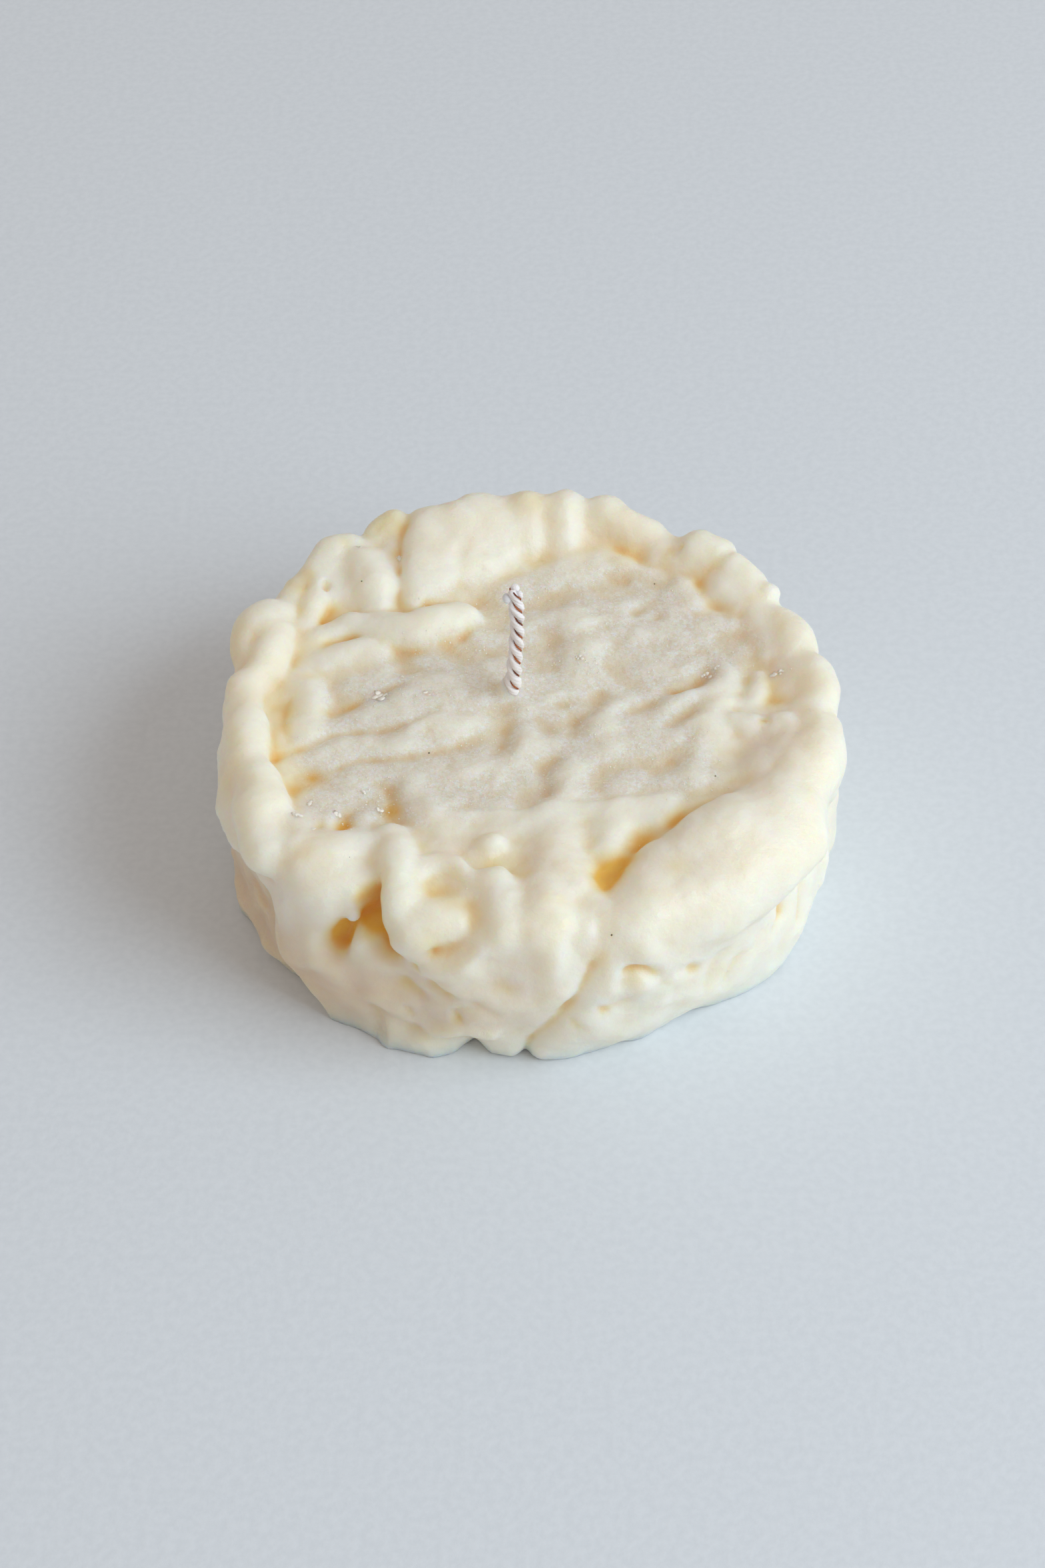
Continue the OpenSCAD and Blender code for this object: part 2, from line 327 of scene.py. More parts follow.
# Folds pulled up over the blank: how softly each runs into the wax, then its points x, y, z, radius.
FOLDS = [
    # left side
    (1.2, [(-46.2, 5, 30.8, 3.2), (-46.3, 0.5, 30.8, 3.6), (-45.8, -3.5, 30.8, 3.7),
           (-45.2, -8, 30.8, 3.6), (-44.4, -12.5, 30.6, 3.4), (-42.6, -16.5, 30.8, 3.8),
           (-41.6, -20, 30.7, 4.1)]),
    (1.4, [(-42.3, -21.5, 30.4, 4.5), (-42.2, -25.5, 29.4, 4.4), (-40.6, -29, 28.4, 4.4)]),
    (1.2, [(-46, 10.5, 29.6, 3.2), (-45.4, 15.5, 30.2, 3.9), (-43.8, 19.6, 30.8, 4.4),
           (-41.6, 21.2, 30.6, 3.8)]),
    (1, [(-41.4, 16, 31.6, 3.2), (-42.2, 12, 31.8, 3.5), (-44, 8.2, 31.5, 3.2), (-46, 5, 31, 3.2)]),
    (1.4, [(-40, 23.6, 29.6, 2.8), (-38.8, 25.8, 30.6, 2.8)]),
    (2, [(-37.6, 19, 29.8, 2.2), (-36.6, 15.4, 29.6, 2.2)]),
    # back left
    (1.4, [(-39, 26.2, 30.2, 2.4), (-38.4, 29.2, 30.6, 2.2)]),
    (3, [(-36, 31.6, 31.6, 2.6), (-33.6, 35, 32.2, 3.2), (-31, 37.4, 32.2, 3), (-28.4, 38.6, 31.6, 2.4)]),
    (3, [(-33, 31, 29.6, 4), (-31.6, 27, 29.4, 3.6)]),
    (1.2, [(-25.4, 41, 31.8, 3.4), (-22.8, 43, 33, 3.2)]),
    (2.4, [(-22.6, 42, 31.2, 3), (-22.4, 36, 31, 2.8), (-22.4, 29, 30, 2.6)]),
    (1.6, [(-27.8, 32.8, 30.2, 5.2), (-26.8, 28.6, 30, 5.2), (-26, 25, 29.6, 3.9)]),
    (0.8, [(-34.4, 28.6, 32, 2.1), (-35.4, 24.2, 31.6, 2.3), (-36.8, 19.2, 30.8, 1.9)]),
    # flap folded in from the back
    (4, [(-14.6, 31, 28.2, 4.4), (-12.6, 36.4, 28, 6), (-11.6, 41.6, 28.8, 6.4)]),
    (1, [(-19.4, 24.6, 30.9, 2.2), (-18.8, 29, 31.8, 2.8), (-18.6, 33.8, 32.6, 3), (-18.2, 38.6, 33, 3.2),
         (-17.6, 42.4, 33, 3.6)]),
    (2.4, [(-16.6, 28, 30.4, 3.2), (-15.6, 33, 31, 4.2), (-14.6, 38.6, 32, 4.2), (-13.6, 42.6, 32.8, 4)]),
    (2.4, [(-13, 43.4, 32.6, 4), (-10, 44.2, 32, 4)]),
    (4, [(-9, 37.5, 28.6, 4.6), (-5, 42, 30.6, 4.6)]),
    # rope in front of the flap
    (0.9, [(-35, 14.4, 29.9, 2.1), (-34.4, 17, 30.6, 2.4), (-30.4, 19.4, 31, 2.6), (-26, 19.2, 30.2, 3.3),
           (-20, 17.8, 30, 4.2), (-15, 20.2, 30, 4), (-10.8, 23, 29.8, 3)]),
    (1, [(-33.6, 12, 30, 2.6), (-29, 13.6, 30.2, 3), (-25, 13.6, 29.8, 2.6)]),
    (1, [(-36.8, 8.4, 30.4, 1.3)]),
    (1.8, [(-35.4, 5.4, 29.6, 2.8), (-34.6, 1.6, 29.6, 2.8), (-35, -3.4, 29.6, 2.4)]),
    # back and back right
    (1.8, [(-10, 45.6, 32, 3.9), (-5.5, 45.8, 31.8, 4)]),
    (2.6, [(-0.6, 46.2, 33, 3.8), (-0.4, 42, 30.4, 4)]),
    (1.8, [(5.2, 46, 32.4, 4), (5.6, 42, 30, 4)]),
    (1.6, [(12.4, 44.8, 32.6, 3.4), (16, 43.2, 31.2, 3.2)]),
    (1.6, [(16.4, 42.4, 32, 2.8), (19.8, 41.2, 31.4, 2.9), (20.8, 38.6, 30.4, 2)]),
    (2, [(22, 38.5, 29.2, 3.4), (28, 35.5, 28.8, 3.8), (33.5, 31, 28.6, 3.6), (38, 26, 28.4, 3.6),
         (41, 20, 28.2, 3.6)]),
    (1.4, [(24.4, 38, 30.6, 2.4), (25.6, 35.4, 29.6, 2.2)]),
    (1.2, [(27.6, 37.4, 31.8, 3.7), (30.6, 36, 31.6, 3.4)]),
    (1.2, [(33.2, 32.2, 31.4, 3.4), (36.2, 29.8, 31, 3.2), (38.2, 27.2, 30.6, 2.4)]),
    (1, [(39.6, 27.2, 32.2, 2)]),
    (1.6, [(31.8, 29.4, 29.6, 3.4), (34.6, 27, 29.4, 2.8)]),
    (1, [(36.6, 22, 29.8, 2.4), (38.2, 19, 30, 2.6), (38.6, 14.6, 29.4, 2.6)]),
    (1, [(41.4, 20.8, 30.2, 3.8), (42.4, 16.8, 30.4, 3.9), (42.6, 12.8, 30, 3.2)]),
    (1.4, [(44.8, 8.6, 30.2, 3.8), (45.6, 4.6, 30.4, 3.6), (45.3, 0.6, 30.2, 3.4)]),
    (1.6, [(45.6, -4.5, 30.6, 3.8), (45.6, -8.5, 30.6, 4), (44.6, -12.5, 30.2, 3.8)]),
    (3, [(41.2, 8, 28.2, 3.2), (41.4, 3, 28, 3.2), (41.6, -1, 28, 3)]),
    (1, [(36, 9.4, 30, 1.2), (35.8, 5.6, 30.2, 1.8), (35.2, 2.4, 30, 1.8)]),
    (0.8, [(32.2, -2.9, 30.4, 2.2), (34.4, -3.6, 30.6, 2.3)]),
    (0.8, [(37.9, -4.2, 30.8, 2.4), (40.2, -4.2, 30.8, 2.5), (40.4, -7.4, 30, 2.5)]),
    (4, [(36, -11, 27.8, 4), (40, -10, 27.8, 4.4)]),
    # large smooth fold at the front right
    (2, [(17.6, -37.2, 28.4, 4.6), (19.4, -33.6, 29.2, 4.6), (25, -30.2, 29.4, 5.4),
         (29.5, -27.6, 29.2, 5.6)]),
    (5, [(30, -27.6, 29, 5.6), (35.5, -22.6, 28.8, 5.6), (40.5, -16.5, 28.8, 5.2), (43, -10, 28.8, 4.6)]),
    (4, [(16, -40.5, 27.4, 4.2), (25, -38, 26.6, 5.6), (34, -31.5, 26.6, 6), (40.5, -24, 27, 5.6)]),
    # front
    (1.6, [(-21.6, -28, 30.4, 2.6), (-21, -32.5, 30.9, 3.2), (-20.3, -37, 30.6, 3.3),
           (-19.8, -40.8, 28.4, 3.4), (-19.2, -43.4, 25, 3)]),
    (2.2, [(-26.5, -29.6, 29.8, 3.2), (-30.5, -30.2, 29.8, 3.8), (-35, -30.4, 28.8, 4.2)]),
    (2.4, [(-34.2, -33.4, 27.4, 4.2), (-31.8, -36, 26.8, 3.6)]),
    (1.2, [(-17.8, -36.4, 30.6, 1.7), (-15.2, -34, 31.2, 1.5), (-12.2, -34, 31.4, 1.4),
           (-10.2, -36, 31.2, 1.4), (-8, -36.8, 31.2, 1.5), (-5, -36.6, 31, 2)]),
    (2, [(-5.2, -38.5, 30.4, 2.8), (-4.2, -41.6, 29.8, 3.8), (-4.8, -44.8, 27.6, 3.6)]),
    (2.2, [(2, -38.5, 30.2, 3.2), (2.6, -42.4, 29.8, 4), (2.6, -45, 26.8, 3.8)]),
    (2, [(-14.8, -43, 28.4, 2.8), (-17.5, -44.2, 26.8, 3)]),
    (2, [(10, -41.2, 29.2, 2.6), (11, -44.6, 27, 2.8), (15.5, -44.4, 27, 2.8)]),
    (1.2, [(-6, -29.6, 30.4, 2.3)]),
    # where the wax has crept up the wick
    (1.2, [(-3.8, 4.7, 29, 2.2), (-4.1, 4.8, 31, 1.5), (-4.2, 4.8, 33, 1)]),
    (4, [(6, -37, 28.6, 4), (4, -33, 28.6, 4)]),
]

# Lumps put back in a hollow: how softly, then points x, y, z, radius.
LUMPS = [
    (1.6, [(-27.6, -38.4, 25, 1.5)]),
]

# Hollows dug out of the wax: how softly, then points x, y, z, radius.
HOLLOWS = [
    (1.2, [(22.9, 36.8, 33.6, 1)]),
    (1, [(24.8, 37, 33.4, 0.6)]),
    (0.4, [(-33.7, 27.4, 33.3, 0.5), (-33.8, 26.6, 33.1, 0.5)]),
    (0.4, [(36.2, -3.4, 32.9, 0.9), (36.6, -4.4, 33.1, 0.7)]),
]

# Strokes on the sunken top: points x, y, then depth (below zero it is a ridge) and half width.
TOP_STROKES = [
    # long creases that climb to the right
    ([(-33.5, 0.3), (-29, 1.3), (-26, 3.3), (-22, 5.4)], 1.1, 1.7),
    ([(-40, -9.3), (-37, -8), (-34, -6.8), (-29, -5.4), (-24, -3.8), (-20, -1.8), (-15, -0.2)], 0.7, 1),
    ([(-30, -12.5), (-25, -11.4), (-20, -10), (-17, -8.5), (-13, -6), (-9, -5)], 0.7, 1.1),
    ([(22.5, 5), (25, 6.8), (27.6, 9.6)], 1.3, 1.8),
    ([(15, 0), (17.5, 2), (22, 4.8)], 0.9, 2.2),
    ([(22, -3.4), (25, -0.8), (27, 1.8)], 1.1, 1.8),
    ([(10.5, -15), (13, -13.2), (17, -11.3), (22.5, -9.6)], 1.1, 1.9),
    ([(20, 22.8), (25, 22.9), (31, 22.4)], 0.4, 1),
    ([(4, 18.8), (9, 19.4), (13, 20.5), (20, 22.6)], 0.5, 1.2),
    ([(20, -18.1), (30, -18)], 0.4, 1),
    # hollows
    ([(-10, 7), (-6.3, 7)], 1, 2.6),
    ([(-5.2, 0.5), (-5.6, -4), (-5.5, -8.5)], 1.2, 2.3),
    ([(1.5, -2.8), (3.5, -4.5), (6, -5)], 0.8, 2.8),
    ([(6.5, -1.2), (7.6, 0), (9.2, 3.2)], 1.1, 1.8),
    ([(2.8, -10.8), (1.5, -13.5), (2.2, -18.5)], 1.3, 2.2),
    ([(2.6, 27), (3.4, 24)], 0.8, 2.4),
    ([(1.4, 20), (2.4, 17.5), (1.6, 14.5), (2.4, 10.5)], 1, 2.2),
    ([(13.8, 16), (13, 13), (12, 11)], 0.7, 2.2),
    ([(20, 15.4), (19.4, 14.2)], 0.9, 1.8),
    ([(25.4, -9), (25.8, -6)], 0.9, 1.8),
    ([(7.5, -17), (9.8, -18)], 0.7, 2),
    ([(12.6, 31.8), (14, 32.4)], 0.8, 1.2),
    ([(17, 26), (19.5, 27.5), (20.6, 29.4)], 0.9, 2.4),
    ([(10.5, 25.3), (16, 25.2)], 0.5, 1.2),
    ([(-14.2, 14.8), (-12.4, 12)], 0.6, 2),
    ([(-21.4, 13.6), (-20.6, 10), (-20, 7.5)], 1.1, 2.2),
    ([(-34.5, -14), (-33.5, -15.2)], 1.1, 2.8),
    ([(-22.8, -18), (-22, -21), (-20.8, -24.8)], 1.6, 2.2),
    ([(-28.8, -24.2), (-28.9, -26.2)], 1.9, 1.3),
    ([(-32, -26), (-32.2, -26.8)], 1.5, 1.2),
    ([(8.4, -25.5), (8.8, -29.8)], 1.3, 2.4),
    ([(-10.5, -31), (-9, -34), (-5.5, -34.4), (-2.2, -33.2), (-1.2, -30)], 1, 2),
    ([(-14, -38.5), (-15.6, -41.6)], 1.6, 2.4),
    ([(-9.8, -41.5), (-9.4, -44.5)], 1.6, 2.2),
    ([(34.5, 24.2), (34.4, 22.8)], 0.4, 1.4),
    ([(35.4, 19.6), (33.6, 18.2)], 0.3, 1.6),
    ([(31, -19), (34, -17.4), (36.5, -15.4)], 1, 2.6),
    ([(31.8, 0), (32, -3), (32.4, -9)], 1, 1.5),
    ([(33, -9.5), (36, -8.5)], 0.8, 3),
    ([(28.6, 26.4), (27.4, 29.5), (27, 32.5)], 0.9, 1.6),
    ([(31.5, 26.5), (33, 27)], 1, 2.8),
    ([(-37, -17), (-37.4, -20)], 0.8, 1.6),
    # wedges that end against the large fold at the front right
    ([(16.5, -30.8), (14.2, -33), (11.6, -36.5), (10.2, -40)], 2.8, 2.8),
    ([(16.6, -28), (20, -26.4), (23.4, -23.8), (27, -21.6), (31, -20.4)], 1.6, 2.4),
    ([(-25.2, -38.6), (-25.2, -42)], 3, 2.2),
    # the moat inside the rim
    ([(-41.4, -9.5), (-40.8, -4), (-40.6, 1.5), (-40.4, 6)], 0.7, 1.6),
    ([(-38.6, 3), (-38.8, -1.5), (-38.2, -6)], 0.8, 1.1),
    ([(-40, -9.8), (-38.2, -13.6), (-37.2, -17.5)], 0.5, 1.6),
    ([(-37.6, 16), (-38.4, 13), (-39.2, 10)], 0.8, 1.5),
    ([(-38.6, 22), (-38.4, 19.5), (-37.2, 17)], 0.8, 1.6),
    ([(-17.4, 26.2), (-15, 29), (-9, 30.4), (-4, 33), (2, 35.6)], 0.6, 1.8),
    ([(2, 36.8), (8, 38), (14, 37.6), (17.6, 36.6)], 0.5, 1.8),
    ([(17.6, 36.6), (21, 35), (26, 32.6)], 0.5, 1.4),
    ([(13.5, 39.4), (17, 38.8)], 0.6, 2.6),
    ([(28.4, 25.6), (31, 23.8), (34.5, 22.6)], 0.5, 1.3),
    ([(37.4, 11), (37.9, 7), (38.2, 4), (39.6, 2), (41.8, 2)], 0.8, 1.4),
    ([(40, 7), (41, 4)], 0.3, 2.6),
    ([(42.9, -3.2), (42.4, -7.2), (44.2, -11)], 0.8, 1.2),
    ([(35.8, 12.4), (33.2, 7.6), (33.4, 4.6)], 0.7, 1.3),
    # ridges
    ([(-2.6, 0.8), (-2.2, -4), (-1.8, -8.6)], -0.8, 2.2),
    ([(5.4, -11), (5.6, -15), (5.2, -19.6)], -0.9, 2.4),
    ([(6.6, 13), (8.6, 10.4)], -0.9, 3.6),
    ([(12.8, 3.4), (11.4, -0.6), (10.6, -4.2)], -0.8, 2.4),
    ([(25.4, -14), (27.2, -7.5), (28, -1.8), (30, 3.4), (30.6, 8)], -1.3, 2.6),
    ([(21, 0.8), (25.4, 3), (29, 5.6)], -0.9, 2),
    ([(3.6, -23.4), (3.6, -29), (3.6, -35)], -1.4, 3),
    ([(12.4, -21.4), (12, -28.6)], -1.1, 2.8),
    ([(19.6, -20.8), (18.6, -24)], -0.8, 2.2),
    ([(-18.4, -17.6), (-17, -19.6)], -1.2, 3.2),
    ([(-13, -25.5), (-15, -22.5)], -0.7, 2.8),
    ([(-36.6, -23.8), (-35.4, -27.4)], -1.1, 2.2),
    ([(-30.4, -24), (-30.6, -26.2)], -0.7, 1.2),
    ([(-25, -24.8), (-25.8, -27.4)], -0.6, 1.8),
    ([(-9, 22.6), (-8.6, 19.4)], -0.8, 2.2),
    ([(5, 23.8), (8, 21.6)], -0.8, 2.8),
    ([(10, 35.6), (12, 36.4), (15, 35.4), (19, 34.2)], -0.6, 1.1),
    ([(24, 29.4), (26, 26.2)], -0.8, 2.8),
]

# Sheets on the sunken top: the wax is raised on the left of each path, by a height that fades over a reach.
TOP_STEPS = [
    ([(17, -18.4), (10, -20), (6, -21.2), (0, -21.6), (-8, -21.4)], 1.1, 6),
    ([(34.5, -21.2), (29, -21), (25, -22.2)], 0.6, 3),
    ([(34.6, 5), (32.6, 7.6), (31.6, 10.2)], 0.6, 3),
    ([(-40, -9), (-34, -6.6), (-29, -5.2), (-24, -3.6), (-18, -1.2), (-10, 0.4)], 0.7, 4),
    ([(-31, -12.4), (-25, -11.2), (-20, -9.8), (-13, -5.8)], 0.6, 3.5),
    ([(-29, 1.6), (-25.6, 3.8), (-21, 6)], 0.7, 3),
]

# Strokes on the wall: points angle in degrees, height, then depth and half width.
WALL_STROKES = [
    ([(283.5, 31), (282.4, 28), (281.6, 24.6), (279, 19), (277, 15.6), (274.2, 11.2), (270.2, 5.6),
      (269, 1)], 1.1, 1.3),
    ([(279.6, 36), (278.4, 33.6), (277.6, 31), (276.4, 27.6)], 1.4, 1.6),
    ([(251, 25.6), (254, 25.6), (257.5, 27.2), (259.6, 31.6)], 1.4, 2),
    ([(239.8, 34), (240.4, 30), (241.2, 26), (242.8, 22.4)], 5.5, 2.4),
    ([(238.8, 30), (236.8, 26), (233.8, 22.4), (232.2, 18.6)], 3.8, 1.9),
    ([(239, 28), (238, 25)], 1.8, 1.8),
    ([(286.4, 20.2), (288.4, 22.2), (291.4, 21), (293.2, 18)], 0.7, 1.3),
    ([(297, 19), (300, 17.4)], 0.7, 1.6),
    ([(303, 12), (304.4, 15), (306, 18)], 0.7, 1.6),
    ([(308, 10), (310.6, 13.4)], 0.6, 1.6),
    ([(319.4, 29), (320.6, 26), (321.4, 23)], 0.9, 1.4),
    ([(323.4, 18), (323, 15), (321, 14)], 0.8, 1.3),
    ([(326, 22), (336, 21), (345, 18)], 1.8, 6.5),
    ([(298.2, 36.4), (298.6, 34.4)], 1.1, 2.2),
    ([(247, 19), (246, 14), (247.6, 10)], 0.8, 3),
    ([(251, 18.8), (254.5, 17)], 0.6, 2.2),
    ([(256.8, 13.6), (257.2, 12)], 0.7, 1),
    ([(251, 25.4), (251.4, 24.6)], 0.9, 0.8),
    ([(240.6, 8), (241, 3)], 1, 1.6),
    ([(283, 14.6), (287, 15.6)], 0.4, 1),
    ([(248.8, 21.4), (248.9, 21)], 1, 0.8),
    ([(256, 12.6), (256.6, 11)], 0.9, 0.8),
    ([(252, 18), (255, 17)], 0.7, 1.2),
    ([(246, 16), (249, 14.6)], 0.8, 1.4),
    ([(260, 16), (262.6, 14.6)], 0.6, 1.2),
    ([(246.6, 10.6), (247, 9.4)], 0.6, 0.8),
    ([(243, 7.6), (247, 5.8), (252, 5.4), (257, 5)], 0.7, 1.2),
    ([(286.6, 22.4), (289.4, 22.6), (291.4, 20.6)], 0.8, 1),
    ([(281.6, 15.4), (282.6, 14.2)], 0.6, 0.8),
    ([(277, 12.4), (278, 11.2)], 0.7, 0.8),
    ([(299, 18.6), (300.4, 17.2)], 0.6, 1),
    ([(322.6, 17.4), (323.4, 15)], 0.7, 0.9),
    ([(320.2, 27.4), (320.8, 24.6)], 0.6, 0.9),
    ([(205, 19.4), (209, 18.4), (212, 15)], 0.7, 1),
    ([(206, 14.4), (210, 12.4)], 0.6, 1),
    # ridges
    ([(249.5, 20.8), (253.3, 22.2), (257.4, 24.8), (260.7, 27.4)], -0.9, 1.4),
    ([(248, 3.4), (252, 6.4), (257, 8.4), (262.5, 8)], -0.8, 1.4),
    ([(242, 14.4), (241, 12)], -0.7, 2.6),
    ([(289.6, 18.6), (290, 17)], -0.7, 2.6),
    ([(284.6, 24), (283.4, 19), (280, 13)], -0.6, 2.4),
    ([(197, 6.6), (204, 5.2), (211, 3.4), (219, 3.6)], -1.2, 2.2),
    ([(228, 29), (227, 25)], -1, 3),
]

# Sheets on the wall: raised on the left of each path, or lowered if the height is below zero.
WALL_STEPS = [
    ([(198, 25.4), (205, 23.6), (211, 22.8), (213.8, 21.4), (216.6, 19.2), (217.6, 14.8), (218.8, 12.4),
      (220.6, 10), (223.4, 7.4), (226.4, 4.2), (229, 0)], 2.8, 14),
    ([(269, 0), (270.4, 5.6), (274.4, 11.2), (277.2, 15.6), (279.2, 19), (281.8, 24.6),
      (282.6, 28)], -0.9, 6),
]

# The sunken, frosted part of the top.
FROST_EDGE = [
    (-38, -9), (-36, -16), (-33, -24), (-27, -25), (-20, -26), (-10, -24), (-8, -21.5), (0, -21.5),
    (8, -20.5), (16, -18.5), (24, -19.5), (30, -18), (29, -12), (27, -6), (30, 2), (32, 8), (36, 12),
    (37, 16), (33, 22), (28, 24), (26, 28), (25, 31), (19, 34), (12, 36), (4, 34), (-4, 32), (-10, 30),
    (-16, 28), (-17, 25), (-12, 26), (-9, 22), (-14, 17), (-20, 14), (-25, 13), (-24, 9), (-33, 8),
    (-34, 3), (-34, -5),
]

# Places where crevice shade and the warm glow of light through the wax are painted in ochre: x, y, z,
# reach, strength. Below zero, the place is kept clear of this painted shade.
PAINTED_SHADE_SPOTS = [
    # deep crevices at the front right
    (12.4, -34.6, 30, 3.2, 0.9), (14.6, -32.4, 31, 2, 0.4), (10.4, -37.6, 29.5, 2.6, 0.7),
    (18, -29, 30.2, 2.8, 0.5), (22.6, -24.6, 31, 2.4, 0.5), (26.6, -21.8, 31.4, 2, 0.3),
    # deep pocket at the front left
    (-23.8, -38.6, 29.6, 2.4, 0.9), (-23, -40.6, 26, 2.8, 1.1), (-22, -43.4, 23, 2.4, 0.9),
    (-26.2, -38.8, 28.4, 1.6, 0.4), (-25.2, -39.6, 24.6, 2.2, 0.7), (-28.8, -37.6, 23.4, 1.8, 0.5),
    (-29.4, -37.8, 20.6, 2.4, 0.8), (-27.6, -39.4, 26, 1.5, -0.5),
    # faces that stand proud of the wax round them, kept clear of painted shade
    (-13, 36, 34, 7, -0.35), (-26, 29, 34, 4.5, -0.3), (-33, 33, 35, 4, -0.2),
    (38.4, -4.6, 32.4, 3.6, -0.3), (28, 36, 35, 5, -0.15), (36, 29, 34, 4, -0.15),
    # under the rope in front of the flap
    (-29.5, 16, 31, 1.6, 0.25), (-24.2, 14.6, 31, 1.8, 0.3), (-19, 13.8, 31, 1.6, 0.3),
    (-14.4, 16.6, 31, 1.6, 0.25), (-11, 20, 31, 1.6, 0.2), (-34.6, 7.6, 31, 1.6, 0.25),
    # back left
    (-21.4, 40, 34, 2.2, 0.5), (-21.8, 35, 33, 2, 0.6), (-21.8, 31, 32, 1.8, 0.6),
    (-21, 25, 31, 1.8, 0.4), (-17.4, 24.4, 31, 2, 0.4), (-13.6, 29, 31.4, 2.6, 0.3),
    (-25.4, 41, 33, 2.6, 0.4), (-23.4, 44, 35, 3, 0.3), (-33.6, 33.6, 33.4, 2, 0.35),
    (-31.4, 36.4, 34.2, 1.8, 0.4), (-36.6, 30.6, 32.6, 1.8, 0.45), (-38, 26.6, 31.6, 1.6, 0.7),
    (-38, 22.4, 31, 1.8, 0.5), (-37.4, 18.4, 30.4, 2, 0.3), (-36.8, 15.6, 30.6, 1.8, 0.2),
    (-33, 23.4, 31.6, 1.4, 0.45), (-34.4, 21.2, 31.2, 1.4, 0.4), (-39.8, 28.4, 31.8, 2.6, 0.3),
    (-36.6, 7.2, 31, 1.4, 0.35), (-47.2, 16.4, 29.6, 4, 0.35), (-47.8, 12, 27, 8, 0.3),
    (-46.8, -14, 30, 6, 0.25), (-33.6, 15.4, 31.4, 2, 0.3), (-28.4, 1.4, 31, 1.8, 0.35),
    (-33, -0.2, 31, 1.4, 0.3),
    # rim on the right
    (15.5, 37.6, 30.6, 3, 0.4), (9.2, 44, 32.4, 1.6, 0.4), (0, 45, 36, 4, 0.3),
    (22.8, 36.6, 31.4, 1.8, 0.5), (27.4, 30.4, 30.8, 2.4, 0.4), (33.2, 23.4, 30.6, 2.4, 0.15),
    (36.2, 25.6, 31.6, 1.6, 0.4), (30.6, 33, 32.4, 2.2, 0.35), (40.2, 20.6, 32, 1.6, 0.4),
    (41, 17.4, 32.4, 1.6, 0.3), (36.4, -3.8, 32.2, 1, 0.8), (37.6, 7, 30.8, 2.2, 0.35),
    (38.6, 2.4, 30.8, 2.4, 0.4), (41.4, 1.6, 31.4, 2.6, 0.15), (43.2, -6, 31, 2.4, 0.3),
    (34.6, -16.4, 30, 3.2, 0.4),
    # faint patches on the large fold and on the wall below it
    (22, -36, 33.8, 2.4, 0.28), (17.2, -41, 32, 1.8, 0.2), (39.2, -29.4, 16, 1.8, 0.25),
    (37.2, -30.6, 26, 1.8, 0.2), (43, -22, 33, 1.6, 0.2), (16, -46.4, 20.6, 2.4, 0.3),
    (24, -43, 17.6, 2, 0.25), (6, -47.6, 32.6, 2.6, 0.3), (10, -48, 25.4, 2.2, 0.35),
    (5.2, -42.6, 33.4, 1.2, 0.35), (9.6, -42.6, 33, 1.2, 0.35), (2.4, -42.4, 33.6, 1.8, 0.2),
    (29.8, -39, 13, 2.6, 0.2), (11, -48.6, 14.6, 1.6, 0.25), (6.4, -48.6, 11.6, 1.4, 0.25),
    (20.4, -45, 28, 1.6, 0.12),
    # pits and hollows on the wall at the front left
    (-17.6, -45.6, 21.4, 1.2, 0.4), (-15.4, -46, 27, 2.6, 0.3), (-13.6, -46.6, 17.8, 2.8, 0.25),
    (-20, -45.6, 15, 2.2, 0.25), (-12, -48, 11, 1.2, 0.4), (-19.6, -45.8, 9.6, 1.6, 0.25),
    (-9.4, -48, 14, 2, 0.2), (-34.8, -32.6, 31.4, 2.6, 0.3), (-31, -33.4, 31, 1.8, 0.25),
    (-40.4, -29.4, 26, 1.6, 0.3), (-3, -43.6, 30, 2, 0.2), (-12.2, -41, 29.6, 2.2, 0.4),
    (-8.6, -43, 29, 2.4, 0.45), (-10.8, -45.8, 24, 2, 0.2), (-14.8, -46.4, 25.4, 1, 0.4),
    (-15.6, -39, 29.4, 2.4, 0.35), (-0.8, -36.4, 30.6, 1.4, 0.35), (-6.6, -33.6, 31, 2, 0.25),
    (-17.4, -30.6, 31, 1.8, 0.25),
    # left edge of the sunken top
    (-38.8, 0.4, 30.6, 1.8, 0.45), (-39, -3.4, 30.4, 1.8, 0.5), (-42.2, -6, 30.8, 1.6, 0.4),
    (-40.4, -9, 30.4, 2.2, 0.4), (-36.6, -8.4, 31, 1.4, 0.3), (-37.2, -17, 30.6, 2, 0.35),
    (-34.4, -14.6, 30.6, 2.2, 0.3), (-21.6, -21, 30.4, 2, 0.3), (-28.8, -25.4, 30, 1.6, 0.5),
    (-32, -26.4, 30.2, 1.5, 0.4),
]

# Flakes of clear wax that lie on the top: x, y, width.
FLAKES = [
    (-24.6, 4.2, 2.4), (-21, 7.6, 0.9), (-22.2, 34, 1.3), (-28.6, 35.6, 1.1), (-34.5, -20.3, 1.3),
    (-26.5, -17.5, 1.1), (-23.6, -21, 1.1), (-36.4, -24, 1.8), (-33.8, -26.8, 1), (-30.4, -22.6, 1.4),
    (-16.8, 3.4, 1.1), (7.6, 11.6, 1.2), (10.2, 11, 0.9), (28.2, 9.4, 1.5), (29.4, 10.2, 1.1),
    (38.6, 8.6, 1.3), (40, 8.8, 1.1),
]

# Dark specks: where each starts before it drops on the top, or runs inwards to the wall, as x, y, z.
SPECKS = [
    (12.9, -50.4, 29.3), (-16.3, -9, 40), (20.2, 31, 40), (-28, 27, 40), (-28, -33, 40), (28.6, -15, 40),
]

# Slow and fine unevenness: share kept in the calm places, height on folds, more on the wall, spacing.
LUMPINESS = [(0, 0.6, 0.5, 8), (0, 0.5, 0.6, 4), (0.4, 0.26, 0.24, 2.2)]

# Places where the wax is calm: x, y, reach, how calm.
CALM_PLACES = [(33, -28, 21, 0.75), (38, 14, 16, 0.5)]

